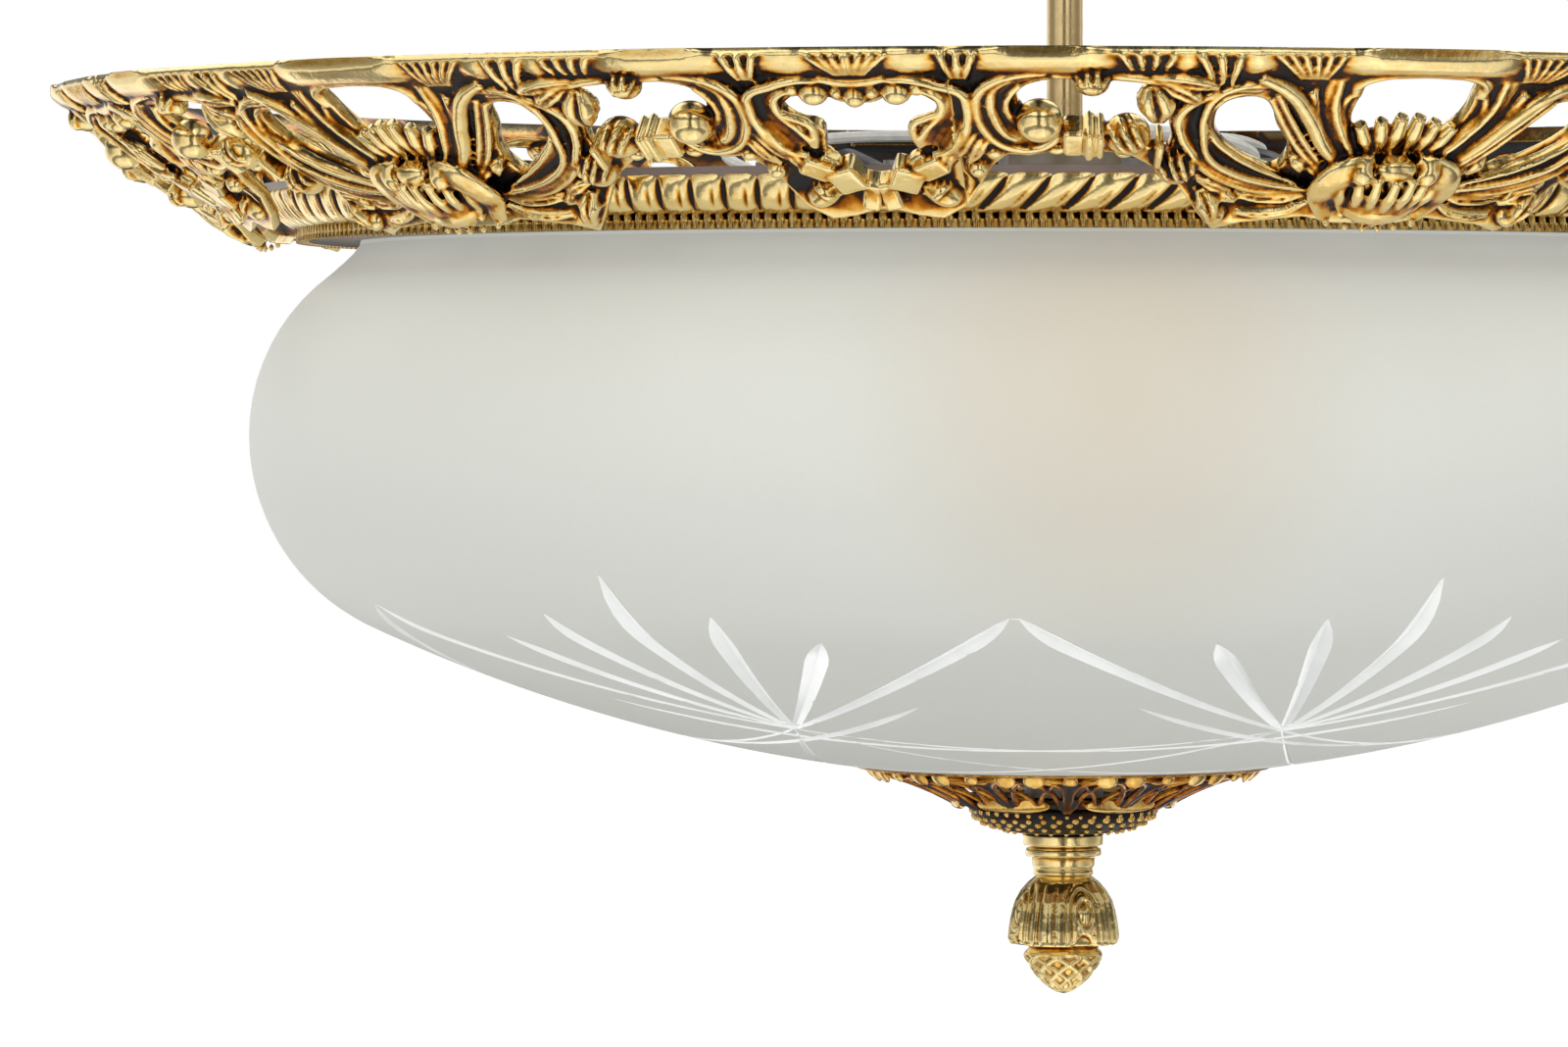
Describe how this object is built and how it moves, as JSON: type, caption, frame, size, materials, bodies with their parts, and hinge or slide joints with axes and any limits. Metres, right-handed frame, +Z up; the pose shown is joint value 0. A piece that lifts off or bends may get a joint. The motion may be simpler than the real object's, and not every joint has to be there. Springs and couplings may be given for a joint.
{
  "type": "ceiling light",
  "caption": "Semi-flush ceiling light: a frosted cut-glass bowl held under an openwork cast brass crown, hung on a brass tube from a canopy.",
  "frame": {"origin": "centre of the ceiling face, between the strap's slots", "axes": "+Z up, the lamp hangs along -Z; -Y is the front"},
  "size_m": [0.558, 0.558, 0.3693],
  "materials": {
    "antique_gold": "polished antique gold with dark patina in the recesses",
    "tube_brass": "polished pale brass",
    "band_bronze": "satin grey bronze paint",
    "zinc": "zinc plated",
    "holder_black": "black bakelite",
    "cable_white": "silicone sheath",
    "terminal": "moulded",
    "earth": "green",
    "seal": "soft rubber",
    "frosted_glass": "frosted with polished cuts",
    "bulb_glass": "opal"
  },
  "bodies": {
    "root": {"ceiling_bracket": "zinc", "canopy_studs": "zinc", "terminal_block": "terminal", "earth_screw": "earth", "tube": "tube_brass", "lock_nuts": "zinc", "tube_washers": "zinc", "supply_cable": "cable_white", "spider": "zinc", "spider_screws": "zinc", "hub_nut": "zinc", "coupling": "zinc", "stay_rod": "zinc", "gallery": "band_bronze", "rope_ring": "antique_gold", "knurled_ring": "antique_gold", "glass_gasket": "seal", "crown_casting_1": "antique_gold", "crown_casting_2": "antique_gold", "crown_casting_3": "antique_gold", "crown_casting_4": "antique_gold", "crown_casting_5": "antique_gold", "crown_casting_6": "antique_gold", "lamp_bracket_1": "zinc", "lamp_bracket_2": "zinc", "lamp_bracket_3": "zinc", "bracket_screws": "zinc", "lampholder_1": "holder_black", "lampholder_2": "holder_black", "lampholder_3": "holder_black", "lamp_lead_1": "cable_white", "lamp_lead_2": "cable_white", "lamp_lead_3": "cable_white"},
    "canopy": {"canopy": "tube_brass"},
    "canopy_nut_left": {"canopy_nut_left": "tube_brass"},
    "canopy_nut_right": {"canopy_nut_right": "tube_brass"},
    "bowl": {"glass_bowl": "frosted_glass", "bowl_grommet": "seal", "cap_spacer": "zinc", "bottom_cap": "antique_gold", "beaded_boss": "antique_gold"},
    "finial": {"finial_neck": "antique_gold", "acorn_finial": "antique_gold"},
    "bulb_1": {"bulb_1": "bulb_glass", "bulb_cap_1": "zinc"},
    "bulb_2": {"bulb_2": "bulb_glass", "bulb_cap_2": "zinc"},
    "bulb_3": {"bulb_3": "bulb_glass", "bulb_cap_3": "zinc"}
  },
  "joints": [
    {"name": "canopy_slide", "type": "slide", "parent": "root", "child": "canopy", "axis": [0, 0, -1], "range_m": [0, 0.06]},
    {"name": "canopy_nut_left_turn", "type": "hinge", "parent": "canopy", "child": "canopy_nut_left", "pos_m": [-0.022, 0, -0.045], "axis": [0, 0, 1], "continuous": true},
    {"name": "canopy_nut_right_turn", "type": "hinge", "parent": "canopy", "child": "canopy_nut_right", "pos_m": [0.022, 0, -0.045], "axis": [0, 0, 1], "continuous": true},
    {"name": "bowl_lower", "type": "slide", "parent": "root", "child": "bowl", "axis": [0, 0, -1], "range_m": [0, 0.16]},
    {"name": "finial_turn", "type": "hinge", "parent": "bowl", "child": "finial", "pos_m": [0, 0, -0.3365], "axis": [0, 0, 1], "continuous": true},
    {"name": "bulb_1_turn", "type": "hinge", "parent": "root", "child": "bulb_1", "pos_m": [0.05, -0.0488, -0.1507], "axis": [0, 0.9205, -0.3907], "continuous": true},
    {"name": "bulb_2_turn", "type": "hinge", "parent": "root", "child": "bulb_2", "pos_m": [0.01726, 0.0677, -0.1507], "axis": [-0.7972, -0.4603, -0.3907], "continuous": true},
    {"name": "bulb_3_turn", "type": "hinge", "parent": "root", "child": "bulb_3", "pos_m": [-0.06726, -0.0189, -0.1507], "axis": [0.7972, -0.4603, -0.3907], "continuous": true}
  ]
}
